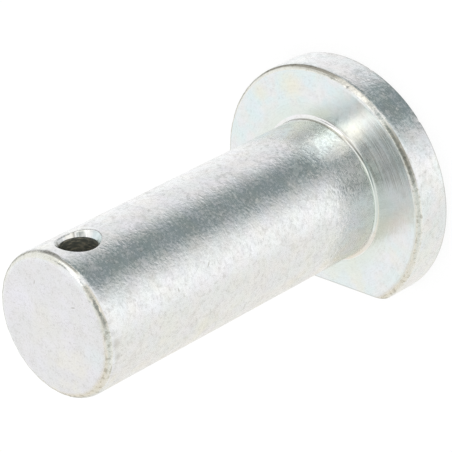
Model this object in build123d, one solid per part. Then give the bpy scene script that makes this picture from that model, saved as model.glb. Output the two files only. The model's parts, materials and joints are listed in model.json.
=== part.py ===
from build123d import *
import math
import os

# Headed clevis pin, turned from one bar of steel.
# The axis is Z and the head's back face is at Z = 0, so the pin stands on its head.
# The flat milled on the head faces -Y, and the split-pin hole runs along Y, square to it.

# Driving dimensions, in millimetres and degrees
shank_diameter = 20
shank_length = 50  # from under the head to the tip
head_diameter = 35
head_thickness = 5.5
flat_to_axis = 14  # how far the milled flat stands from the pin's axis
hole_diameter = 5
hole_to_tip = 5.5  # from the hole's centre to the end face
countersink_depth = 1  # below the crown of the shank, at both mouths
countersink_angle = 60
tip_chamfer = 0.7
rim_chamfer = 0.6  # on the edge of the head that faces the shank
edge_break = 0.15  # on the head's back edge and round its flat
neck_radius = 0.5  # left by the turning tool where the shank meets the head

shank_radius = shank_diameter / 2
head_radius = head_diameter / 2
tip_height = head_thickness + shank_length
hole_height = tip_height - hole_to_tip


def turned_blank():
    """The lathe's work: half the section of head and shank, turned once round the axis."""
    with BuildPart() as blank:
        with BuildSketch(Plane.XZ):
            with BuildLine():
                head_side = Polyline(
                    (0, 0),
                    (head_radius, 0),
                    (head_radius, head_thickness - rim_chamfer),
                    (head_radius - rim_chamfer, head_thickness),
                    (shank_radius + neck_radius, head_thickness),
                )
                neck_top = (shank_radius, head_thickness + neck_radius)
                neck = RadiusArc(head_side @ 1, neck_top, neck_radius)
                Polyline(
                    neck @ 1,
                    (shank_radius, tip_height - tip_chamfer),
                    (shank_radius - tip_chamfer, tip_height),
                    (0, tip_height),
                    (0, 0),
                )
            make_face()
        revolve(axis=Axis.Z)
    return blank.part


def mill_flat(blank):
    """Cuts the flat across the head, then breaks the edges round it and round the back face."""
    cutter = Box(
        head_diameter,
        head_radius - flat_to_axis,
        head_thickness,
        align=(Align.CENTER, Align.MAX, Align.MIN),
    )
    milled = blank - Pos(0, -flat_to_axis, 0) * cutter
    flat = milled.faces().sort_by(Axis.Y)[0]
    back = milled.faces().sort_by(Axis.Z)[0]
    return chamfer(set(flat.edges()) | set(back.edges()), edge_break)


def split_pin_drill():
    """The drill and both countersinks as one tool: its half section, turned round the hole's axis."""
    hole_radius = hole_diameter / 2
    slope = math.tan(math.radians(countersink_angle / 2))
    cone_foot = shank_radius - countersink_depth
    reach = shank_radius + countersink_depth  # the cone runs on past the shank's crown
    mouth = hole_radius + (reach - cone_foot) * slope
    with BuildPart() as drill:
        with BuildSketch(Plane.XY):
            Polygon(
                (0, -reach),
                (mouth, -reach),
                (hole_radius, -cone_foot),
                (hole_radius, cone_foot),
                (mouth, reach),
                (0, reach),
                align=None,
            )
        revolve(axis=Axis.Y)
    return drill.part


pin = mill_flat(turned_blank()) - Pos(0, 0, hole_height) * split_pin_drill()
pin.label = "pin"

os.makedirs("parts", exist_ok=True)
export_step(pin, "parts/pin.step")
print("pin: volume", round(pin.volume, 2), "mm3, box", pin.bounding_box().size)
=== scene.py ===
import json
import math

import bpy
import numpy as np
from mathutils import Matrix, Vector


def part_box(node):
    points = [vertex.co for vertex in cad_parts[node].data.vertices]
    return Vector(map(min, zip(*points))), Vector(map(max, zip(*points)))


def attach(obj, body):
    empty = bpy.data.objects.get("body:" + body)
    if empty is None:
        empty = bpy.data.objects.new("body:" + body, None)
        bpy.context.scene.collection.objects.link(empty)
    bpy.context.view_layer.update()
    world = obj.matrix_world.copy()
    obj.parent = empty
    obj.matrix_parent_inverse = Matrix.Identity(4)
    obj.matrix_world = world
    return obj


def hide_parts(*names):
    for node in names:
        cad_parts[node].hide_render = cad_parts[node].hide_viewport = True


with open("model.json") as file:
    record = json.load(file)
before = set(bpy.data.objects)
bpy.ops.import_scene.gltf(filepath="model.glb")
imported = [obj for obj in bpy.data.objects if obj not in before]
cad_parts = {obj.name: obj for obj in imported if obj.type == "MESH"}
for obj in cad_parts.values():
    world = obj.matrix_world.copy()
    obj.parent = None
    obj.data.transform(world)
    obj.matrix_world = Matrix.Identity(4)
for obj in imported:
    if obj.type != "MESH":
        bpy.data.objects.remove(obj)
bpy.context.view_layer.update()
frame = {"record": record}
mm = 0.001
print("frame loaded")

# true sizes in millimetres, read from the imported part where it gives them
mounts = {mount["name"]: mount for mount in frame["record"]["mounts"]}
pinLow, pinHigh = (np.array(corner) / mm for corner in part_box("pin"))
shankMiddle = mounts["shank"]["pos_m"][2] / mm
shankHalf = mounts["shank"]["dims"]["length_mm"] / 2
headTop = mounts["head_underside"]["pos_m"][2] / mm
sizes = {
    "headRadius": pinHigh[0],
    "headTop": headTop,
    "flatDistance": -pinLow[1],
    "rimChamfer": 0.6,
    "shankRadius": mounts["shank"]["dims"]["r_mm"],
    "neckRadius": shankMiddle - shankHalf - headTop,
    "tipTop": pinHigh[2],
    "tipChamfer": pinHigh[2] - shankMiddle - shankHalf,
    "holeHeight": mounts["split_pin_hole"]["pos_m"][2] / mm,
    "holeRadius": mounts["split_pin_hole"]["dims"]["r_mm"],
    "sinkFoot": mounts["split_pin_hole"]["dims"]["length_mm"] / 2,
    "sinkAngle": 60,
    "backRoll": 0.05,  # every edge was tumbled and plated, so none is sharp
    "rimRoll": 0.24,
    "tipRoll": 0.36,
    "sinkRoll": 0.18,
}
sinkSlope = math.tan(math.radians(sizes["sinkAngle"] / 2))

# knocks and unevenness in millimetres, with places in degrees round the axis
wear = {
    "seed": 11,
    "waves": 28,
    "chamferDepth": 0.018,
    "chamferLength": 1.7,
    "sideDepth": 0.004,
    "sideLength": 7.0,
    "nickRoll": 0.06,
    "nicks": [
        {"angle": 71.5, "radius": 17.2, "height": 5.62, "size": 0.4},
        {"angle": 40.5, "radius": 17.74, "height": 0.02, "size": 0.38},
        {"angle": 73.0, "radius": 17.78, "height": -0.05, "size": 0.4},
        {"angle": 38.3, "radius": 9.45, "height": 55.65, "size": 0.4},
        {"angle": 252.0, "radius": 9.4, "height": 55.7, "size": 0.42},
    ],
}

# how finely the skin is divided
skin = {
    "flatColumns": 44,  # from the middle of the flat to its corner
    "roundColumns": 176,  # from that corner to the back of the head
    "backRows": 18,
    "rimRows": 22,
    "rimChamferRows": 10,
    "undersideRows": 24,
    "neckRows": 8,
    "shankRows": 36,
    "patchColumns": 28,  # to each side of a hole
    "patchRows": 36,
    "patchReach": 4.4,  # millimetres above and below a hole's centre
    "tipRows": 6,  # between a hole's patch and the tip's chamfer
    "tipChamferRows": 10,
    "endRows": 18,
    "mouthRings": 16,  # from a patch's edge to the countersink
    "sinkRings": 10,
    "boreRings": 26,
    "mouthRounds": 20,  # how often the mouth's radius is worked out again
    "growth": 1.3,  # each step is this much wider than the one nearer the edge
    "widest": 10,
    "presses": 6,
    "nudge": 1e-4,  # millimetres, to feel which way the distance grows
    "leastSlope": 0.25,  # the least square of a slope that a press divides by
    "leastCosine": 1e-6,  # for directions that never reach the flat
}


# The place on the pin at an angle round the axis, a reach from it and a height.
def placeAt(angle, reach, height):
    turn = math.radians(angle)
    return (reach * math.cos(turn), reach * math.sin(turn), height)


# The larger of two distances, with the edge where they meet rolled to a radius.
def rolled(first, second, radius):
    corner = np.hypot(np.maximum(first + radius, 0), np.maximum(second + radius, 0))
    return np.minimum(-radius, np.maximum(first, second)) + corner


# A smooth wandering value: a sum of sine waves that run in seeded directions.
def wander(points, length, seed):
    chance = np.random.default_rng(seed)
    direction = chance.normal(size=(wear["waves"], 3))
    direction *= 2 * math.pi / length / np.linalg.norm(direction, axis=1)[:, None]
    phase = chance.uniform(0, 2 * math.pi, wear["waves"])
    return np.sin(points @ direction.T + phase).sum(axis=1) / math.sqrt(wear["waves"])


# How far points lie outside a chamfer of 45 degrees between two faces.
def slanted(first, second, chamfer):
    return (first + second + chamfer) * math.sqrt(0.5)


# How far points lie outside the head: a disc with a chamfered rim, cut by the flat.
def outsideHead(y, z, reach, chamferWander):
    rim, top = reach - sizes["headRadius"], z - sizes["headTop"]
    chamfer = slanted(rim, top, sizes["rimChamfer"]) + chamferWander
    head = rolled(np.maximum(rim, top), chamfer, sizes["rimRoll"])
    head = rolled(head, -y - sizes["flatDistance"], sizes["backRoll"])
    return rolled(head, -z, sizes["backRoll"])


# How far points lie outside the shank: a bar from halfway up the head to a chamfered tip.
def outsideShank(z, reach, chamferWander, sideWander):
    side, end = reach - sizes["shankRadius"] + sideWander, z - sizes["tipTop"]
    chamfer = slanted(side, end, sizes["tipChamfer"]) + chamferWander
    shank = rolled(np.maximum(side, end), chamfer, sizes["tipRoll"])
    return np.maximum(shank, sizes["headTop"] / 2 - z)


# How far points lie outside the drill: the bore's cylinder, and a cone at each mouth.
def outsideDrill(x, y, z):
    away = np.hypot(x, z - sizes["holeHeight"]) - sizes["holeRadius"]
    cone = (away - (np.abs(y) - sizes["sinkFoot"]) * sinkSlope) / math.hypot(1, sinkSlope)
    return np.minimum(away, cone)


# How far points lie outside the pin: head and shank, joined by the neck, less the drill and the nicks.
def outside(points, chamferWander, sideWander):
    x, y, z = points.T
    reach = np.hypot(x, y)
    head = outsideHead(y, z, reach, chamferWander)
    shank = outsideShank(z, reach, chamferWander, sideWander)
    pin = -rolled(-head, -shank, sizes["neckRadius"])
    pin = rolled(pin, -outsideDrill(x, y, z), sizes["sinkRoll"])
    for nick in wear["nicks"]:
        centre = placeAt(nick["angle"], nick["radius"], nick["height"])
        pin = rolled(pin, nick["size"] - np.linalg.norm(points - centre, axis=1), wear["nickRoll"])
    return pin


# Presses points onto the skin: each goes down the slope of its distance until that is nothing.
def pressed(points):
    chamferWander = wear["chamferDepth"] * wander(points, wear["chamferLength"], wear["seed"])
    sideWander = wear["sideDepth"] * wander(points, wear["sideLength"], wear["seed"] + 1)
    nudge = skin["nudge"]
    for press in range(skin["presses"]):
        here = outside(points, chamferWander, sideWander)
        slope = np.empty_like(points)
        for axis, shift in enumerate(np.eye(3) * nudge):
            ahead = outside(points + shift, chamferWander, sideWander)
            behind = outside(points - shift, chamferWander, sideWander)
            slope[:, axis] = (ahead - behind) / (2 * nudge)
        steep = np.maximum((slope**2).sum(axis=1), skin["leastSlope"])
        points = points - slope * (here / steep)[:, None]
    return points


# Shares from 0 to 1 whose steps widen by the same growth from each crowded end.
def graded(count, crowdStart, crowdEnd):
    place = np.arange(count)
    fromStart = place if crowdStart else count
    fromEnd = count - 1 - place if crowdEnd else count
    steps = np.minimum(skin["widest"], skin["growth"] ** np.minimum(fromStart, fromEnd))
    steps = np.broadcast_to(steps, count)
    return np.concatenate([[0], np.cumsum(steps)]) / np.sum(steps)


# The rows of the skin from the back face to the end face: each is an inner radius, an outer radius,
# the share of the way from the one to the other, and a height.
def profileRows():
    head, top, shank = sizes["headRadius"], sizes["headTop"], sizes["shankRadius"]
    rimStop, rimStart = head - sizes["rimChamfer"], top - sizes["rimChamfer"]
    neckOut, neckUp = shank + sizes["neckRadius"], top + sizes["neckRadius"]
    tip, tipStart = sizes["tipTop"], sizes["tipTop"] - sizes["tipChamfer"]
    tipStop = shank - sizes["tipChamfer"]
    low, high = (sizes["holeHeight"] + side * skin["patchReach"] for side in (-1, 1))

    # a stretch of rows, straight from one set of the four numbers to another
    def stretch(start, stop, count, crowdStart, crowdEnd):
        share = graded(count, crowdStart, crowdEnd)[1:, None]
        return np.array(start) + (np.array(stop) - start) * share

    bend = np.linspace(0, math.pi / 2, skin["neckRows"] + 1)[1:]
    neckReach = neckOut - sizes["neckRadius"] * np.sin(bend)
    neckRise = neckUp - sizes["neckRadius"] * np.cos(bend)
    neck = np.stack([neckReach, neckReach, 0 * bend, neckRise], axis=1)
    parts = [
        stretch((0, head, 0, 0), (0, head, 1, 0), skin["backRows"], False, True),
        stretch((0, head, 1, 0), (0, head, 1, rimStart), skin["rimRows"], True, True),
        stretch((0, head, 1, rimStart), (0, rimStop, 1, top), skin["rimChamferRows"], True, True),
        stretch((neckOut, rimStop, 1, top), (neckOut, rimStop, 0, top), skin["undersideRows"], True, False),
        neck,
        stretch((shank, shank, 0, neckUp), (shank, shank, 0, low), skin["shankRows"], False, False),
        stretch((shank, shank, 0, low), (shank, shank, 0, high), skin["patchRows"], False, False),
        stretch((shank, shank, 0, high), (shank, shank, 0, tipStart), skin["tipRows"], False, True),
        stretch((shank, shank, 0, tipStart), (tipStop, tipStop, 0, tip), skin["tipChamferRows"], True, True),
        stretch((tipStop, tipStop, 0, tip), (0, 0, 0, tip), skin["endRows"], True, False)[:-1],
    ]
    patchStart = sum(len(part) for part in parts[:6]) - 1
    return np.concatenate(parts), patchStart


# The skin as a grid: each row is a ring, cut short by the flat where radius times cosine passes it.
def ringPoints(rows):
    inner, outer, share, height = rows.T[:, :, None]
    tipStop = sizes["headRadius"] - sizes["rimChamfer"]
    crease = np.arccos(sizes["flatDistance"] / np.maximum(outer, tipStop))
    flatShare = graded(skin["flatColumns"], False, True)
    roundShare = graded(skin["roundColumns"], True, False)[1:]
    half = np.concatenate([crease * flatShare, crease + (math.pi - crease) * roundShare], axis=1)
    turn = np.concatenate([half, 2 * math.pi - half[:, -2:0:-1]], axis=1)
    toFlat = sizes["flatDistance"] / np.maximum(np.cos(turn), skin["leastCosine"])
    radius = inner + share * (np.minimum(outer, toFlat) - inner)
    return np.stack([radius * np.sin(turn), -radius * np.cos(turn), height + 0 * turn], axis=-1)


# The countersink's mouth at a polar angle: the radius where its cone meets the round shank.
def mouthRadius(angle):
    radius = np.full_like(angle, sizes["holeRadius"])
    for turn in range(skin["mouthRounds"]):
        crown = np.sqrt(sizes["shankRadius"] ** 2 - (radius * np.cos(angle)) ** 2)
        radius = sizes["holeRadius"] + (crown - sizes["sinkFoot"]) * sinkSlope
    return radius


# Rings from a patch's edge to the drill's wall, on the side of the shank where y has that sign.
def mouthRings(border, side):
    x, y, z = border.T
    shank, centre = sizes["shankRadius"], sizes["holeHeight"]
    across, along = shank * np.arcsin(x / shank), z - centre
    angle = np.arctan2(along, across)
    mouth = mouthRadius(angle)
    share = graded(skin["mouthRings"], False, True)[1:, None]
    mouthAcross = shank * np.arcsin(mouth * np.cos(angle) / shank)
    across = across + (mouthAcross - across) * share
    along = along + (mouth * np.sin(angle) - along) * share
    around = [shank * np.sin(across / shank), side * shank * np.cos(across / shank), centre + along]
    share = graded(skin["sinkRings"], True, True)[1:, None]
    radius = mouth + (sizes["holeRadius"] - mouth) * share
    depth = side * (sizes["sinkFoot"] + (radius - sizes["holeRadius"]) / sinkSlope)
    sink = [radius * np.cos(angle), depth, centre + radius * np.sin(angle)]
    return np.concatenate([np.stack(around, axis=-1), np.stack(sink, axis=-1)]), angle


# A patch's border as steps across and up, clockwise as seen along +Y with X to the right.
def borderSteps():
    wide, tall = skin["patchColumns"], skin["patchRows"]
    across = [np.arange(-wide, wide), np.full(tall, wide), np.arange(wide, -wide, -1), np.full(tall, -wide)]
    up = [np.full(2 * wide, tall), np.arange(tall, 0, -1), np.full(2 * wide, 0), np.arange(tall)]
    return np.concatenate(across), np.concatenate(up)


# The bore's rings: circles whose points swing from the back mouth's angles to the front mouth's.
def boreRings(backAngle, frontAngle):
    share = graded(skin["boreRings"], True, True)[1:-1, None]
    swing = (frontAngle - backAngle + math.pi) % (2 * math.pi) - math.pi
    angle = backAngle + swing * share
    radius = sizes["holeRadius"]
    depth = sizes["sinkFoot"] * (1 - 2 * share) + 0 * angle
    rings = [radius * np.cos(angle), depth, sizes["holeHeight"] + radius * np.sin(angle)]
    return np.stack(rings, axis=-1)


# The whole skin: rings and two end fans, with both mouths cut out and joined by one tube of rings.
def pinSkin():
    rows, patchStart = profileRows()
    grid = ringPoints(rows)
    rowCount, columnCount = grid.shape[:2]
    number = np.arange(rowCount * columnCount).reshape(rowCount, columnCount)
    nextColumn = np.roll(number, -1, axis=1)
    quads = np.stack([number[:-1], nextColumn[:-1], nextColumn[1:], number[1:]], axis=-1)
    keep = np.ones(quads.shape[:2], bool)
    wide, tall = skin["patchColumns"], skin["patchRows"]
    fromFlat = np.arange(-wide, wide)
    keep[patchStart : patchStart + tall, fromFlat % columnCount] = False
    keep[patchStart : patchStart + tall, fromFlat + columnCount // 2] = False

    across, up = borderSteps()
    backBorder = number[patchStart + up, columnCount // 2 - across]
    frontBorder = number[patchStart + up, across % columnCount]
    points = grid.reshape(-1, 3)
    backRings, backAngle = mouthRings(points[backBorder], 1)
    frontRings, frontAngle = mouthRings(points[frontBorder], -1)
    tube = np.concatenate([backRings, boreRings(backAngle, frontAngle), frontRings[::-1]])
    ringNumber = len(points) + np.arange(tube.shape[0] * tube.shape[1]).reshape(tube.shape[:2])
    ringNumber = np.concatenate([backBorder[None], ringNumber, frontBorder[None]])
    nextPoint = np.roll(ringNumber, -1, axis=1)
    tubeQuads = np.stack([ringNumber[:-1], nextPoint[:-1], nextPoint[1:], ringNumber[1:]], axis=-1)

    poles = [[0, 0, 0], [0, 0, sizes["tipTop"]]]
    points = np.concatenate([points, tube.reshape(-1, 3), poles])
    backPole, endPole = len(points) - 2, len(points) - 1
    backFan = np.stack([np.full(columnCount, backPole), nextColumn[0], number[0]], axis=-1)
    endFan = np.stack([number[-1], nextColumn[-1], np.full(columnCount, endPole)], axis=-1)
    quads = np.concatenate([quads[keep], tubeQuads.reshape(-1, 4)])
    fans = np.concatenate([backFan, endFan])
    used, renumbered = np.unique(np.concatenate([quads.ravel(), fans.ravel()]), return_inverse=True)
    quads = renumbered[: quads.size].reshape(-1, 4)
    fans = renumbered[quads.size :].reshape(-1, 3)
    return pressed(points[used]), quads, fans


# Puts the skin into a mesh, all faces smooth, in metres.
def meshPiece(name, points, quads, fans):
    mesh = bpy.data.meshes.new(name)
    mesh.from_pydata(points * mm, [], quads.tolist() + fans.tolist())
    mesh.polygons.foreach_set("use_smooth", np.ones(len(mesh.polygons), bool))
    mesh.update()
    piece = bpy.data.objects.new(name, mesh)
    bpy.context.scene.collection.objects.link(piece)
    return piece


pin = meshPiece("finished_pin", *pinSkin())
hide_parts("pin")
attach(pin, "root")
print("skin made:", len(pin.data.vertices), "points,", len(pin.data.polygons), "faces")


# A socket that Python's operators work on: each operator adds one Math node.
class Wire:
    def __init__(self, tree, socket=None):
        self.tree = tree
        self.socket = socket

    # Any node: its settings are set first, then numbers or wires go into its sockets.
    def node(self, kind, settings, inputs, output=0):
        made = self.tree.nodes.new(kind)
        for name, value in settings.items():
            setattr(made, name, value)
        for name, value in dict(inputs).items():
            if isinstance(value, Wire):
                self.tree.links.new(value.socket, made.inputs[name])
            else:
                made.inputs[name].default_value = value
        return Wire(self.tree, made.outputs[output] if made.outputs else None)

    def math(self, operation, *values):
        return self.node("ShaderNodeMath", {"operation": operation}, enumerate(values))

    def vector(self, operation, *values, output=0):
        return self.node("ShaderNodeVectorMath", {"operation": operation}, enumerate(values), output)

    def __add__(self, other):
        return self.math("ADD", self, other)

    def __sub__(self, other):
        return self.math("SUBTRACT", self, other)

    def __rsub__(self, other):
        return self.math("SUBTRACT", other, self)

    def __mul__(self, other):
        return self.math("MULTIPLY", self, other)

    def __truediv__(self, other):
        return self.math("DIVIDE", self, other)

    def __pow__(self, other):
        return self.math("POWER", self, other)

    def __neg__(self):
        return self.math("SUBTRACT", 0.0, self)

    def __abs__(self):
        return self.math("ABSOLUTE", self)

    __radd__ = __add__
    __rmul__ = __mul__

    # 0 up to start, 1 from stop on, and a smooth curve between them; start may be the larger
    def fade(self, start, stop):
        if start > stop:
            return 1 - self.fade(stop, start)
        inputs = {"Value": self, "From Min": start, "From Max": stop}
        return self.node("ShaderNodeMapRange", {"interpolation_type": "SMOOTHSTEP"}, inputs)

    # a blend of two colours, by this value
    def mix(self, first, second):
        return self.node("ShaderNodeMix", {"data_type": "RGBA"}, {0: self, 6: first, 7: second}, 2)

    # noise on this place, about 0 to 1; size is one blotch in millimetres along X, Y and Z
    def noise(self, size, detail, roughness, shift, distortion=0.0):
        stretched = self.vector("DIVIDE", self, size)
        moved = stretched.vector("ADD", stretched, (shift, shift, shift))
        inputs = {"Vector": moved, "Scale": 1.0, "Detail": detail, "Roughness": roughness}
        return moved.node("ShaderNodeTexNoise", {}, {**inputs, "Distortion": distortion})

    def parts(self):
        return [self.node("ShaderNodeSeparateXYZ", {}, {0: self}, axis) for axis in range(3)]


def combined(x, y, z):
    return x.node("ShaderNodeCombineXYZ", {}, {0: x, 1: y, 2: z})


def colour(red, green, blue):
    return (red, green, blue, 1.0)


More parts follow.
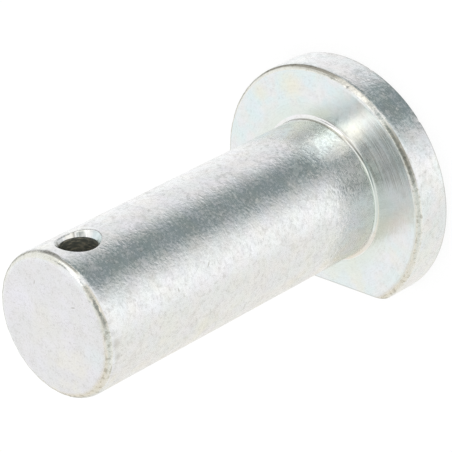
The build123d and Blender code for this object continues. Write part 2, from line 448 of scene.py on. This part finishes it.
# what the finish is made of: lengths in millimetres, colours as linear light, strengths as shares
finish = {
    "zinc": colour(0.865, 0.865, 0.86),
    "shade": colour(0.785, 0.775, 0.765),
    # painted highlight colour: the rim away from 25 degrees, a line along the neck, a spot on the shank by
    # the head and marks in the countersink
    "bright": colour(0.98, 0.98, 0.97),
    # warm painted highlight colour: a spot under the head and a mark in the countersink
    "cream": colour(0.98, 0.965, 0.91),
    "teal": colour(0.76, 0.865, 0.875),
    "lilac": colour(0.855, 0.845, 0.925),
    "straw": colour(0.865, 0.845, 0.72),
    "endPlate": colour(0.75, 0.743, 0.75),
    # greenish painted shade colour: the underside near the neck away from 56 degrees, and the neck round 12
    # degrees
    "neckTint": colour(0.77, 0.83, 0.77),
    # dark colour of specks and cracks, also laid as painted shade in a wedge under the head
    "speck": colour(0.38, 0.365, 0.33),
    # dark colour of dirt stains and scratches, also laid as painted shade at the neck and on the rim's
    # chamfer
    "dirt": colour(0.36, 0.345, 0.30),
    "chamferTint": colour(0.84, 0.84, 0.765),
    # brownish painted shade colour for a band on the tip's chamfer
    "tipBrown": colour(0.745, 0.71, 0.645),
    "edgeShade": colour(0.40, 0.395, 0.37),
    "sinkGap": colour(0.30, 0.29, 0.23),
    # dark colour laid over the bore as painted shade in the hole, and lighter streaks that are painted
    # highlights
    "bore": colour(0.29, 0.305, 0.275),
    "boreStreak": colour(0.66, 0.62, 0.51),
    "noises": {  # size is one blotch in millimetres, and shift picks the part of the noise that shows
        "cloud": {"size": (1.0, 1.0, 0.8), "detail": 2.0, "roughness": 0.5, "shift": 12.0},
        "patch": {"size": (2.6, 2.6, 3.2), "detail": 2.0, "roughness": 0.5, "shift": 37.0},
        "grain": {"size": (0.40, 0.40, 0.36), "detail": 1.0, "roughness": 0.5, "shift": 5.0},
        "speck": {"size": (0.38, 0.38, 0.38), "detail": 1.0, "roughness": 0.5, "shift": 23.0},
        "mottle": {"size": (0.6, 0.6, 0.6), "detail": 2.0, "roughness": 0.6, "shift": 51.0},
        "streak": {"size": (0.9, 0.28, 0.9), "detail": 2.0, "roughness": 0.6, "shift": 81.0},
    },
    "turnedNoises": {  # these run round the pin's axis
        "arc": {"size": (0.45, 0.45, 0.085), "detail": 2.0, "roughness": 0.6, "shift": 31.0},
        "groove": {"size": (0.5, 0.5, 0.12), "detail": 1.0, "roughness": 0.5, "shift": 91.0},
    },
    "drilledNoise": {"size": (0.3, 0.3, 0.3), "detail": 1.0, "roughness": 0.5, "shift": 71.0},
    "drilledLength": 10,  # the chatter's marks are this much longer along the hole than round it
    "crackNoise": {
        "size": (1.2, 1.2, 1.1), "detail": 3.0, "roughness": 0.6, "shift": 63.0, "distortion": 0.8
    },
    "crackWidth": 0.03,
    "hairNoise": {"size": (1.3, 1.3, 0.15), "detail": 1.0, "roughness": 0.5, "distortion": 0.2},
    "hairs": [  # each set of hairs runs round the pin, and leans up by these shares along X and Y
        {"lean": (0.30, 0.12), "shift": 9.0},
        {"lean": (-0.16, 0.26), "shift": 16.0},
        {"lean": (0.05, -0.33), "shift": 23.0},
    ],
    "levels": {  # a mark starts where its noise reaches the first level and is full at the second
        "shade": (0.4, 0.65),
        "crack": (0.42, 0.6),
        "hair": (0.5, 0.75),
        "speck": (0.44, 0.28),
        "groove": (0.46, 0.58),
        "faintGroove": (0.46, 0.62),
        "dust": (0.35, 0.65),
        "dustSpot": (0.48, 0.66),
        "grain": (0.4, 0.72),
        "cloud": (0.42, 0.68),
        "patch": (0.42, 0.65),
        "arc": (0.38, 0.68),
        "boreStreak": (0.45, 0.66),
    },
    "cloudShade": 0.4,
    "patchShade": 0.25,
    "endShade": 0.72,
    "tintNoise": {"size": (3.0, 3.0, 2.4), "detail": 2.0, "roughness": 0.5},
    "tints": [  # clouded bands show where the tint's own noise does, and even ones show everywhere
        {"tint": "teal", "shift": 3.1, "levels": (0.36, 0.62), "clouded": [
            {"on": "all", "strength": 0.25},
            {"on": "underside", "strength": 0.3},
            {"on": "underside", "angle": 125, "cosines": (0.0, 0.8), "strength": 0.3},
            {"on": "rim", "strength": 0.25},
            {"on": "end", "strength": -0.17},
        ], "even": [{"on": "underside", "strength": 0.15}]},
        {"tint": "lilac", "shift": 17.7, "levels": (0.4, 0.66), "clouded": [
            {"on": "all", "strength": 0.3},
            {"on": "end", "strength": 0.05},
        ], "even": []},
        {"tint": "straw", "shift": 41.3, "levels": (0.46, 0.68), "clouded": [
            {"on": "all", "strength": 0.15},
            {"on": "all", "angle": -62, "cosines": (0.6, 1.0), "strength": 0.3},
            {"on": "end", "strength": -0.08},
        ], "even": []},
    ],
    "calm": [{"on": "end", "strength": 0.5}, {"on": "turned", "strength": 0.6}],  # smoother than the shank
    "speckCalm": [{"on": "end", "strength": 0.15}, {"on": "turned", "strength": 0.6}],
    "dusty": [{"on": "chamfers", "angle": 62, "cosines": (0.995, 0.95), "strength": 1.0}],
    "crescentLift": [{"on": "all", "angle": 92, "cosines": (0.97, 1.0), "strength": 0.3}],
    "layers": [  # laid on the plate one after another, each as strong as its bands add up to
        # painted shade: the underside near the neck darker, except round 56 degrees
        {"tint": "neckTint", "bands": [
            {"on": "nearNeck", "angle": 56, "cosines": (0.97, 0.9), "strength": 0.75},
        ]},
        # painted highlight: the rim lighter away from 25 degrees round the pin
        {"tint": "bright", "bands": [
            {"on": "rim", "angle": 25, "cosines": (0.85, 0.5), "strength": 0.22},
        ]},
        {"tint": "speck", "bands": [
            {"on": "specks", "strength": 0.2},
            {"on": "cracks", "strength": 0.27},
        ]},
        # painted highlight: a light line along the neck
        {"tint": "bright", "bands": [
            {"on": "neck", "strength": 0.35},
        ]},
        # painted shade: the neck darker round 12 degrees
        {"tint": "neckTint", "bands": [
            {"on": "neck", "angle": 12, "cosines": (0.75, 0.95), "strength": 0.7},
        ]},
        # painted shade: a dark wedge on the turned faces round 33 degrees, in the specks' colour; the faint
        # grooves all round are real marks
        {"tint": "speck", "bands": [
            {"on": "turned", "angle": 33, "cosines": (0.925, 0.98), "strength": 0.1},
            {"on": "grooves", "angle": 33, "cosines": (0.925, 0.98), "strength": 0.42},
            {"on": "faintGrooves", "strength": 0.04},
        ]},
        {"tint": "chamferTint", "bands": [
            {"on": "dusty", "strength": 0.6},
            {"on": "mottledDust", "strength": 0.4},
        ]},
        # painted shade: a brownish band on the tip's chamfer round 33 degrees
        {"tint": "tipBrown", "bands": [
            {"on": "tipBand", "angle": 33, "cosines": (0.94, 0.966), "strength": 1.0},
        ]},
        # darker layer: dark bands on the rim's chamfer, lines along the back and flat edges, and dust spots;
        # painted shade on the rim's line round 102 degrees, the line round the neck's top and the neck's
        # crease
        {"tint": "dirt", "bands": [
            {"on": "rimDirt", "angle": 31, "cosines": (0.95, 1.0), "strength": 0.86},
            {"on": "rimDirt", "angle": 67, "cosines": (0.955, 0.985), "strength": 0.42},
            {"on": "rimDirt", "angle": 94, "cosines": (0.975, 0.995), "strength": 0.3},
            {"on": "rimLine", "angle": 102, "cosines": (0.88, 0.95), "strength": 0.85},
            {"on": "dustSpots", "strength": 0.15},
            {"on": "dustSpots", "angle": -30, "cosines": (0.3, 0.8), "strength": 0.4},
            {"on": "edge", "strength": 0.4},
            {"on": "neckLine", "angle": 95, "cosines": (0.72, 0.9), "strength": 0.75},
            {"on": "neckGap", "angle": 50, "cosines": (0.96, 0.985), "strength": 0.7},
        ]},
        {"tint": "edgeShade", "bands": [
            {"on": "crescent", "angle": 79, "cosines": (0.93, 0.965), "strength": 0.9},
        ]},
    ],
    "roughness": [
        {"on": "all", "strength": 0.09},
        {"on": "plain", "strength": 0.04},
        {"on": "hairs", "strength": 0.02},
        {"on": "hairs", "angle": 27, "cosines": (0.92, 1.0), "strength": 0.11},
        {"on": "rimHairs", "strength": 0.02},
        {"on": "grains", "strength": 0.17},
        {"on": "clouds", "strength": 0.11},
        {"on": "patches", "strength": 0.08},
        {"on": "arcs", "strength": 0.12},
        {"on": "arcs", "angle": 33, "cosines": (0.85, 1.0), "strength": 0.15},
        {"on": "bore", "strength": 0.5},
        {"on": "sink", "strength": 0.2},
    ],
    "relief": [  # strengths here are heights in millimetres
        {"on": "grainRelief", "strength": 0.026},
        {"on": "cloudRelief", "strength": 0.022},
        {"on": "arcRelief", "strength": 0.016},
        {"on": "mottleRelief", "strength": 0.01},
        {"on": "chatterRelief", "strength": 0.2},
    ],
    "stainEdge": {"from": 1.1, "to": 0.1, "ragged": 0.7, "strength": 0.7},  # in shares of a stain's size
    "scratchEdge": {"from": 1.0, "to": 0.3, "strength": 0.6},
    "sinkMarkEdge": {"core": 0.4, "least": 0.6, "chatter": 0.8},  # core is the part of the spread in full
    "stains": [
        {"at": placeAt(9.2, 10, 34.7), "size": 0.5, "strength": 0.35, "tint": "dirt"},
        {"at": placeAt(-27.0, 10, 38.2), "size": 2.2, "strength": 0.7, "tint": "straw"},
        {"at": placeAt(-14.0, 10, 44.8), "size": 2.6, "strength": 0.35, "tint": "straw"},
        {"at": placeAt(97.0, 10, 8.0), "size": 2.6, "strength": 0.7, "tint": "straw"},
        {"at": placeAt(108.0, 14.7, 5.5), "size": 2.8, "strength": 1.1, "tint": "straw"},
        {"at": placeAt(132.0, 15.5, 5.5), "size": 1.8, "strength": 0.9, "tint": "straw"},
        {"at": placeAt(11.5, 15.2, 5.5), "size": 0.7, "strength": 0.3, "tint": "dirt"},
        {"at": placeAt(-61.0, 10.9, 5.5), "size": 1.0, "strength": 0.9, "tint": "straw"},
        {"at": placeAt(-42.0, 7.0, 55.5), "size": 1.4, "strength": 0.15, "tint": "straw"},
        {"at": placeAt(150.0, 2.0, 55.5), "size": 2.4, "strength": 0.25, "tint": "straw"},
        {"at": placeAt(263.0, 6.4, 55.5), "size": 0.16, "strength": 0.5, "tint": "dirt"},
        {"at": placeAt(250.0, 1.5, 55.5), "size": 5.0, "strength": 0.2, "tint": "straw"},
        {"at": placeAt(154.0, 6.5, 55.5), "size": 3.6, "strength": 0.5, "tint": "lilac"},
        {"at": placeAt(-16.0, 7.6, 55.5), "size": 2.2, "strength": 0.45, "tint": "teal"},
        {"at": placeAt(83.2, 10, 46.5), "size": 0.9, "strength": 0.3, "tint": "chamferTint"},
        {"at": placeAt(75.2, 10, 48.1), "size": 1.1, "strength": 0.35, "tint": "chamferTint"},
        # painted highlights laid as stains: a light spot on the shank by the head and a warm one under the
        # head
        {"at": placeAt(25.0, 10.2, 8.0), "size": 3.5, "strength": 0.6, "tint": "bright"},
        {"at": placeAt(55.5, 12.0, 5.5), "size": 2.6, "strength": 1.2, "tint": "cream"},
        {"at": placeAt(2.0, 10, 54.2), "size": 0.9, "strength": 0.5, "tint": "dirt"},
        {"at": placeAt(-9.0, 10, 54.0), "size": 0.7, "strength": 0.45, "tint": "dirt"},
        {"at": placeAt(10.0, 10, 54.4), "size": 0.5, "strength": 0.4, "tint": "dirt"},
        {"at": placeAt(28.0, 10, 52.5), "size": 2.2, "strength": 0.4, "tint": "teal"},
        {"at": placeAt(105.0, 10, 53.4), "size": 1.6, "strength": 0.4, "tint": "straw"},
    ],
    "scratches": [  # along is the way a scratch runs, and its length is stretch times its size
        {"at": placeAt(22.7, 10, 36.7), "along": (-0.27, 0.65, -0.71), "size": 0.14, "stretch": 5},
        {"at": placeAt(16.2, 10, 42.6), "along": (-0.28, 0.96, 0.0), "size": 0.16, "stretch": 2.5},
        {"at": placeAt(44.0, 5.7, 55.5), "along": (0.96, 0.28, 0.0), "size": 0.13, "stretch": 4},
        {"at": placeAt(116.0, 6.1, 55.5), "along": (0.3, 0.95, 0.0), "size": 0.12, "stretch": 4},
    ],
    "sinkMarks": [  # angle round the hole and spread, in degrees; later ones lie over earlier ones; the light and warm marks are painted highlights
        {"angle": 181, "spread": 7, "strength": 0.9, "tint": "bright"},
        {"angle": 190, "spread": 5, "strength": 0.6, "tint": "sinkGap"},
        {"angle": 212, "spread": 8, "strength": 0.7, "tint": "sinkGap"},
        {"angle": 198, "spread": 15, "strength": 1.0, "tint": "cream"},
        {"angle": 221, "spread": 9, "strength": 0.9, "tint": "bright"},
        {"angle": 234, "spread": 12, "strength": 0.3, "tint": "sinkGap"},
        {"angle": 252, "spread": 16, "strength": 0.9, "tint": "bright"},
        {"angle": 293, "spread": 38, "strength": 0.8, "tint": "teal"},
    ],
}

# where the masks rise, in millimetres past the edge that each is measured from
masks = {
    "soft": 0.1,
    "rimDirt": (0.06, 0.18),
    "rimLine": (0.24, 0.38),
    "tipBand": (0.08, 0.22),
    "backEdge": (0.28, 0.08),
    "backEdgeReach": (-0.3, -0.1),
    "flatEdge": (-0.25, -0.05),
    "flatEdgeTop": (-0.3, 0.0),
    "bore": (0.05, 0.02),
    "sinkMouth": (0.0, 0.05),
    "sinkCone": (0.16, 0.08),
    "nearNeck": (3.5, 1.0),
    "neckLine": (0.3, 0.12),
    "neckGap": (0.14, 0.06),
    "neckGapHeight": 0.15,
    "crescentFoot": (-0.22, -0.12),
    "crescentTop": (0.17, 0.05),
}


# A soft step in a value, between the two distances past an edge that masks gives.
def rising(value, edge, name):
    start, stop = masks[name]
    return value.fade(edge + start, edge + stop)


# What bands add up to: each is a mask's share, all round or only where it faces an angle. The cosines
# are those of the turn away from that angle, where the band starts and where it is full.
def laid(bands, on, around):
    total = 0.0
    for band in bands:
        share = on[band["on"]] * band["strength"]
        if "angle" in band:
            facing = around.vector("DOT_PRODUCT", around, placeAt(band["angle"], 1, 0), output=1)
            share = share * facing.fade(*band["cosines"])
        total = share + total
    return total


# Masks, from 0 to 1, of the pin's faces and edges, by height, reach from the axis and distance from
# the hole's middle line.
def faceMasks(place, reach, around, away):
    x, y, z = place.parts()
    headRadius, headTop, tipTop = sizes["headRadius"], sizes["headTop"], sizes["tipTop"]
    shank, holeRadius = sizes["shankRadius"], sizes["holeRadius"]
    neckOut, neckUp = shank + sizes["neckRadius"], headTop + sizes["neckRadius"]
    rimStop, rimEdge = headRadius - sizes["rimChamfer"], headTop - sizes["rimChamfer"]
    tipStop, tipEdge = shank - sizes["tipChamfer"], tipTop - sizes["tipChamfer"]
    soft = masks["soft"]

    # the turned faces, from the back to the end
    on = {"all": 1.0}
    on["back"] = z.fade(soft / 2, 0.0) * reach.fade(headRadius, headRadius - soft)
    on["rimChamfer"] = reach.fade(rimStop - soft, rimStop) * z.fade(rimEdge - soft, rimEdge)
    on["rim"] = reach.fade(rimStop, headRadius) * (1 - on["rimChamfer"])
    ring = reach.fade(neckOut, neckOut + soft) * reach.fade(rimStop, rimStop - soft)
    on["underside"] = abs(z - headTop).fade(soft, soft / 2) * ring
    on["neck"] = z.fade(neckUp + soft, neckUp) * reach.fade(neckOut + soft, neckOut) * (1 - on["back"])
    on["tipChamfer"] = reach.fade(tipStop - soft, tipStop) * z.fade(tipEdge - soft, tipEdge)
    on["end"] = z.fade(tipTop - soft / 2, tipTop) * reach.fade(tipStop, tipStop - soft)
    on["turned"] = on["underside"] + on["back"]
    on["chamfers"] = on["rimChamfer"] + on["tipChamfer"]

    # the hole
    on["bore"] = rising(away, holeRadius, "bore")
    cone = abs(y) - sizes["sinkFoot"] - (away - holeRadius) / sinkSlope
    on["sink"] = rising(abs(cone), 0.0, "sinkCone") * rising(away, holeRadius, "sinkMouth")
    on["plain"] = 1 - on["turned"] - on["neck"] - on["bore"] - on["sink"]

    # lines and bands along the edges
    backEdge = rising(z, 0.0, "backEdge") * rising(reach, headRadius, "backEdgeReach")
    flatEdge = rising(-y, sizes["flatDistance"], "flatEdge") * rising(z, headTop, "flatEdgeTop")
    on["edge"] = backEdge + flatEdge
    on["rimDirt"] = on["rimChamfer"] * rising(reach, rimStop, "rimDirt")
    on["rimLine"] = on["rimChamfer"] * rising(reach, rimStop, "rimLine")
    on["tipBand"] = on["tipChamfer"] * rising(reach, tipStop, "tipBand")
    on["nearNeck"] = on["underside"] * rising(reach, shank, "nearNeck")
    # masks for painted shade: a line round the top of the neck and one in the neck's crease
    on["neckLine"] = rising(abs(z - neckUp), 0.0, "neckLine")
    on["neckGap"] = rising(abs(z - headTop - masks["neckGapHeight"]), 0.0, "neckGap") * on["neck"]
    lifted = z + laid(finish["crescentLift"], on, around)
    on["crescent"] = rising(lifted, tipEdge, "crescentFoot") * rising(z, tipEdge, "crescentTop")
    on["dusty"] = laid(finish["dusty"], on, around)
    return on


# A mark as it comes up between its two levels of a noise.
def raised(noise, name):
    return noise.fade(*finish["levels"][name])


# The finish's noises, about 0 to 1: plain ones, turned ones round the axis, a drilled one round the hole.
def finishNoises(place, around, away):
    x, y, z = place.parts()
    noises = {name: place.noise(**settings) for name, settings in finish["noises"].items()}
    for name, settings in finish["turnedNoises"].items():
        noises[name] = around.noise(**settings)
    roundHole = combined(x / away, (z - sizes["holeHeight"]) / away, y / finish["drilledLength"])
    noises["chatter"] = roundHole.noise(**finish["drilledNoise"])

    # a crackle of thin curved lines, where a noise passes its middle
    crack = abs(place.noise(**finish["crackNoise"]) - 0.5).fade(finish["crackWidth"], 0.0)
    noises["crack"] = crack * raised(noises["cloud"], "crack")

    # fine hairs that run round the pin, in sets that cross each other at a slant
    hairs = []
    for hair in finish["hairs"]:
        leanX, leanY = hair["lean"]
        leaned = combined(x, y, z + x * leanX + y * leanY)
        hairs.append(raised(leaned.noise(**finish["hairNoise"], shift=hair["shift"]), "hair"))
    noises["hair"] = sum(hairs)
    return noises


# Adds the masks of the fine marks: each is a noise, kept to the faces that it lies on.
def addMarks(on, noises, around):
    satin = on["plain"] * (1 - laid(finish["calm"], on, around))
    specked = 1 - laid(finish["speckCalm"], on, around)
    on["specks"] = raised(noises["speck"], "speck") * specked
    on["cracks"] = noises["crack"] * specked
    on["grooves"] = raised(noises["groove"], "groove") * on["turned"]
    on["faintGrooves"] = raised(noises["groove"], "faintGroove") * on["turned"]
    on["mottledDust"] = raised(noises["mottle"], "dust") * on["dusty"]
    on["dustSpots"] = raised(noises["mottle"], "dustSpot") * on["dusty"]
    on["hairs"] = noises["hair"] * satin
    on["rimHairs"] = on["hairs"] * on["rim"]
    on["grains"] = raised(noises["grain"], "grain") * satin
    on["clouds"] = raised(noises["cloud"], "cloud") * satin
    on["patches"] = raised(noises["patch"], "patch") * satin
    on["arcs"] = raised(noises["arc"], "arc") * on["turned"]
    on["grainRelief"] = noises["grain"] * satin
    on["cloudRelief"] = noises["cloud"] * satin
    on["arcRelief"] = noises["arc"] * on["turned"]
    on["mottleRelief"] = noises["mottle"] * on["chamfers"]
    on["chatterRelief"] = noises["chatter"] * on["sink"]


# The zinc itself: shaded in clouds, then tinted as passivated zinc is.
def tintedZinc(place, on, noises, around):
    shade = raised(noises["cloud"], "shade") * finish["cloudShade"]
    shade = shade + raised(noises["patch"], "shade") * finish["patchShade"]
    plate = shade.mix(finish["zinc"], finish["shade"])
    plate = (on["end"] * finish["endShade"]).mix(plate, finish["endPlate"])
    for tint in finish["tints"]:
        clouds = place.noise(**finish["tintNoise"], shift=tint["shift"]).fade(*tint["levels"])
        share = clouds * laid(tint["clouded"], on, around) + laid(tint["even"], on, around)
        plate = share.mix(plate, finish[tint["tint"]])
    return plate


# Stains are ragged balls round their places, and scratches are long thin ones. Stains in the highlight
# colours are painted highlights.
def stained(plate, place, on, noises):
    edge = finish["stainEdge"]
    for stain in finish["stains"]:  # one on the shank stays off the head
        ragged = place.vector("DISTANCE", place, stain["at"], output=1) / stain["size"]
        ragged = ragged + (noises["cloud"] - 0.5) * edge["ragged"]
        face = 1 - on["turned"] if stain["at"][2] > sizes["headTop"] else 1.0
        share = ragged.fade(edge["from"], edge["to"]) * face * (stain["strength"] * edge["strength"])
        plate = share.mix(plate, finish[stain["tint"]])
    edge = finish["scratchEdge"]
    for scratch in finish["scratches"]:
        offset = place.vector("SUBTRACT", place, scratch["at"])
        along = offset.vector("DOT_PRODUCT", offset, scratch["along"], output=1)
        length = offset.vector("LENGTH", offset, output=1)
        off = (length * length - along * along * (1 - scratch["stretch"] ** -2)) ** 0.5
        share = (off / scratch["size"]).fade(edge["from"], edge["to"]) * edge["strength"]
        plate = share.mix(plate, finish["dirt"])
    return plate


# The drill's work: marks round the countersink, broken up by its chatter, the light ones painted highlights,
# and a bore in a dark colour that is painted shade, with lighter streaks that are painted highlights.
def drilled(plate, place, on, noises, away):
    x, y, z = place.parts()
    edge = finish["sinkMarkEdge"]
    chatter = noises["chatter"] * edge["chatter"] + edge["least"]
    for mark in finish["sinkMarks"]:
        turn, spread = math.radians(mark["angle"]), math.radians(mark["spread"])
        near = (x * math.cos(turn) + (z - sizes["holeHeight"]) * math.sin(turn)) / away
        near = near.fade(math.cos(spread), math.cos(spread * edge["core"])) * chatter
        plate = (on["sink"] * near * mark["strength"]).mix(plate, finish[mark["tint"]])
    # the bore's painted shade, with painted highlight streaks
    streaks = raised(noises["streak"], "boreStreak").mix(finish["bore"], finish["boreStreak"])
    return on["bore"].mix(plate, streaks)


# Zinc plate on turned steel: tinted, clouded and scratched, with each turned face cut its own way, and with
# painted highlights and painted shade laid over it.
def zincPlate():
    material = bpy.data.materials.new("zincPlate")
    material.use_nodes = True
    tree = material.node_tree
    tree.nodes.clear()
    coordinates = Wire(tree).node("ShaderNodeTexCoord", {}, {}, "Object")
    place = coordinates.vector("DIVIDE", coordinates, (mm, mm, mm))
    x, y, z = place.parts()
    reach = (x * x + y * y) ** 0.5
    around = combined(x / reach, y / reach, reach)
    aboveHole = z - sizes["holeHeight"]
    away = (x * x + aboveHole * aboveHole) ** 0.5
    on = faceMasks(place, reach, around, away)
    noises = finishNoises(place, around, away)
    addMarks(on, noises, around)

    plate = tintedZinc(place, on, noises, around)
    plate = stained(plate, place, on, noises)
    for layer in finish["layers"]:
        plate = laid(layer["bands"], on, around).mix(plate, finish[layer["tint"]])
    plate = drilled(plate, place, on, noises, away)
    rough = laid(finish["roughness"], on, around)
    height = laid(finish["relief"], on, around)
    bump = height.node("ShaderNodeBump", {}, {"Strength": 1.0, "Distance": mm, "Height": height})
    inputs = {"Base Color": plate, "Metallic": 1.0, "Roughness": rough, "Normal": bump}
    surface = place.node("ShaderNodeBsdfPrincipled", {}, inputs)
    surface.node("ShaderNodeOutputMaterial", {}, {"Surface": surface})
    return material


pin.data.materials.append(zincPlate())
print("zinc plate made")

# the studio: a pale floor and white light all round, with a few soft cards that only metal shows
# a card spans azimuths in degrees and heights as the sine of their elevation, each with its soft edge,
# and later cards lie over earlier ones
studio = {
    "floorHalf": 1.5,
    "floorShade": colour(0.3, 0.3, 0.3),
    "floorGlow": 0.74,
    "white": colour(1, 1, 1),
    "slantHeights": (-0.68, -0.54),  # between these a slanted card moves over by its slant in degrees
    "cards": [
        {"azimuth": (150, 216), "soft": (22, 10), "height": (-2, -0.3), "fade": 0.15,
         "light": colour(1.07, 1.07, 1.07)},
        {"azimuth": (108, 150), "soft": (10, 22), "height": (-2, -0.3), "fade": 0.15,
         "light": colour(0.94, 0.93, 0.94)},
        {"azimuth": (222, 290), "soft": (12, 2), "height": (-2, -0.3), "fade": 0.15,
         "light": colour(0.94, 0.92, 0.88)},
        {"azimuth": (-110, -22), "soft": (2, 14), "height": (-2, -0.3), "fade": 0.15,
         "light": colour(0.945, 0.935, 0.90)},
        {"azimuth": (-14, 15), "soft": (10, 8), "height": (-2, -0.3), "fade": 0.15, "slant": 14,
         "light": colour(1.12, 1.12, 1.11)},
        {"azimuth": (38, 99.5), "soft": (20.5, 12.5), "height": (-0.92, -0.12), "fade": 0.14, "slant": 14,
         "light": colour(0.255, 0.30, 0.303)},
        {"azimuth": (226, 290), "soft": (6, 2), "height": (-0.15, 0.95), "fade": 0.1,
         "light": colour(0.89, 0.84, 0.77)},
        {"azimuth": (-110, -66), "soft": (2, 10), "height": (-0.15, 0.95), "fade": 0.1,
         "light": colour(0.88, 0.84, 0.78)},
        {"azimuth": (-66, 0), "soft": (10, 16), "height": (0.3, 0.95), "fade": 0.1,
         "light": colour(0.79, 0.81, 0.80)},
        {"azimuth": (-4, 64), "soft": (14, 6), "height": (0.40, 1.2), "fade": 0.06,
         "light": colour(0.33, 0.40, 0.395)},
        {"azimuth": (-2, 64), "soft": (12, 8), "height": (0.67, 0.94), "fade": 0.03,
         "light": colour(0.365, 0.39, 0.385)},
        {"azimuth": (66, 83), "soft": (8, 3), "height": (0.4, 0.95), "fade": 0.1,
         "light": colour(0.82, 0.83, 0.82)},
        {"azimuth": (72, 108), "soft": (6, 6), "height": (-0.05, 0.42), "fade": 0.1,
         "light": colour(1.3, 1.28, 1.2)},
        {"azimuth": (20, 50), "soft": (4, 4), "height": (0.36, 0.56), "fade": 0.03,
         "light": colour(1.2, 1.19, 1.12)},
        {"azimuth": (83, 114), "soft": (3, 2), "height": (0.4, 0.9), "fade": 0.1,
         "light": colour(1.62, 1.6, 1.52)},
        {"azimuth": (115, 141), "soft": (2, 10), "height": (0.54, 0.79), "fade": 0.03,
         "light": colour(0.43, 0.44, 0.425)},
        {"azimuth": (116, 152), "soft": (6, 10), "height": (0.28, 0.58), "fade": 0.04,
         "light": colour(0.92, 0.92, 0.90)},
        {"azimuth": (120, 240), "soft": (14, 32), "height": (-0.4, -0.08), "fade": 0.08,
         "light": colour(0.46, 0.46, 0.44)},
    ],
}


# A card's mask: 1 between its two azimuths and its two heights, with soft edges.
def cardMask(azimuth, height, card):
    start, stop = card["azimuth"]
    softStart, softStop = card["soft"]
    low, high = card["height"]
    fade = card["fade"]
    if "slant" in card:
        azimuth = azimuth - height.fade(*studio["slantHeights"]) * card["slant"]
    mask = azimuth.fade(start - softStart, start + softStart)
    mask = mask * azimuth.fade(stop + softStop, stop - softStop)
    return mask * height.fade(low - fade, low + fade) * height.fade(high + fade, high - fade)


def studioWorld():
    world = bpy.data.worlds.new("studioWorld")
    world.use_nodes = True
    tree = world.node_tree
    tree.nodes.clear()
    direction = Wire(tree).node("ShaderNodeTexCoord", {}, {}, "Generated")
    x, y, z = direction.parts()
    azimuth = x.math("ARCTAN2", -x, y) * math.degrees(1) + 90  # from +X, and it jumps only at -90
    seen = studio["white"]
    for card in studio["cards"]:
        seen = cardMask(azimuth, z, card).mix(seen, card["light"])
    ray = Wire(tree).node("ShaderNodeLightPath", {}, {}, "Is Glossy Ray")
    light = ray.mix(studio["white"], seen)
    background = light.node("ShaderNodeBackground", {}, {"Color": light, "Strength": 1.0})
    background.node("ShaderNodeOutputWorld", {}, {"Surface": background})
    bpy.context.scene.world = world


# The floor is pale and gives off most of its own shade, so the pin's shadow on it stays faint.
def studioFloor():
    half = studio["floorHalf"]
    corners = [(-half, -half, 0), (half, -half, 0), (half, half, 0), (-half, half, 0)]
    mesh = bpy.data.meshes.new("floor")
    mesh.from_pydata(corners, [], [(0, 1, 2, 3)])
    floor = bpy.data.objects.new("floor", mesh)
    bpy.context.scene.collection.objects.link(floor)
    material = bpy.data.materials.new("paleFloor")
    material.use_nodes = True
    tree = material.node_tree
    tree.nodes.clear()
    matte = Wire(tree).node("ShaderNodeBsdfDiffuse", {}, {"Color": studio["floorShade"]})
    glow = matte.node("ShaderNodeEmission", {}, {"Color": studio["white"], "Strength": studio["floorGlow"]})
    both = matte.node("ShaderNodeAddShader", {}, {0: matte, 1: glow})
    both.node("ShaderNodeOutputMaterial", {}, {"Surface": both})
    mesh.materials.append(material)
    floor.visible_glossy = False


studioWorld()
studioFloor()
print("studio made")

# the camera keeps the photograph's viewing angle to the pin, so the upright pin leans in the picture
view = {
    "place": (242.50, 166.12, 263.44),  # millimetres
    "right": (0.72287, -0.06433, -0.68798),
    "up": (-0.25847, 0.89820, -0.35557),
    "lens": 229.8,
    "sensorWidth": 36.0,
    "clipStart": 0.01,  # metres
}


def placeCamera():
    lens = bpy.data.cameras.new("camera")
    lens.lens = view["lens"]
    lens.sensor_width = view["sensorWidth"]
    lens.clip_start = view["clipStart"]
    camera = bpy.data.objects.new("camera", lens)
    bpy.context.scene.collection.objects.link(camera)
    right, up = Vector(view["right"]), Vector(view["up"])
    turn = Matrix((right, up, right.cross(up))).transposed().to_4x4()
    camera.matrix_world = Matrix.Translation(Vector(view["place"]) * mm) @ turn
    bpy.context.scene.camera = camera


placeCamera()
bpy.context.scene.view_settings.view_transform = "Standard"
print("camera placed")
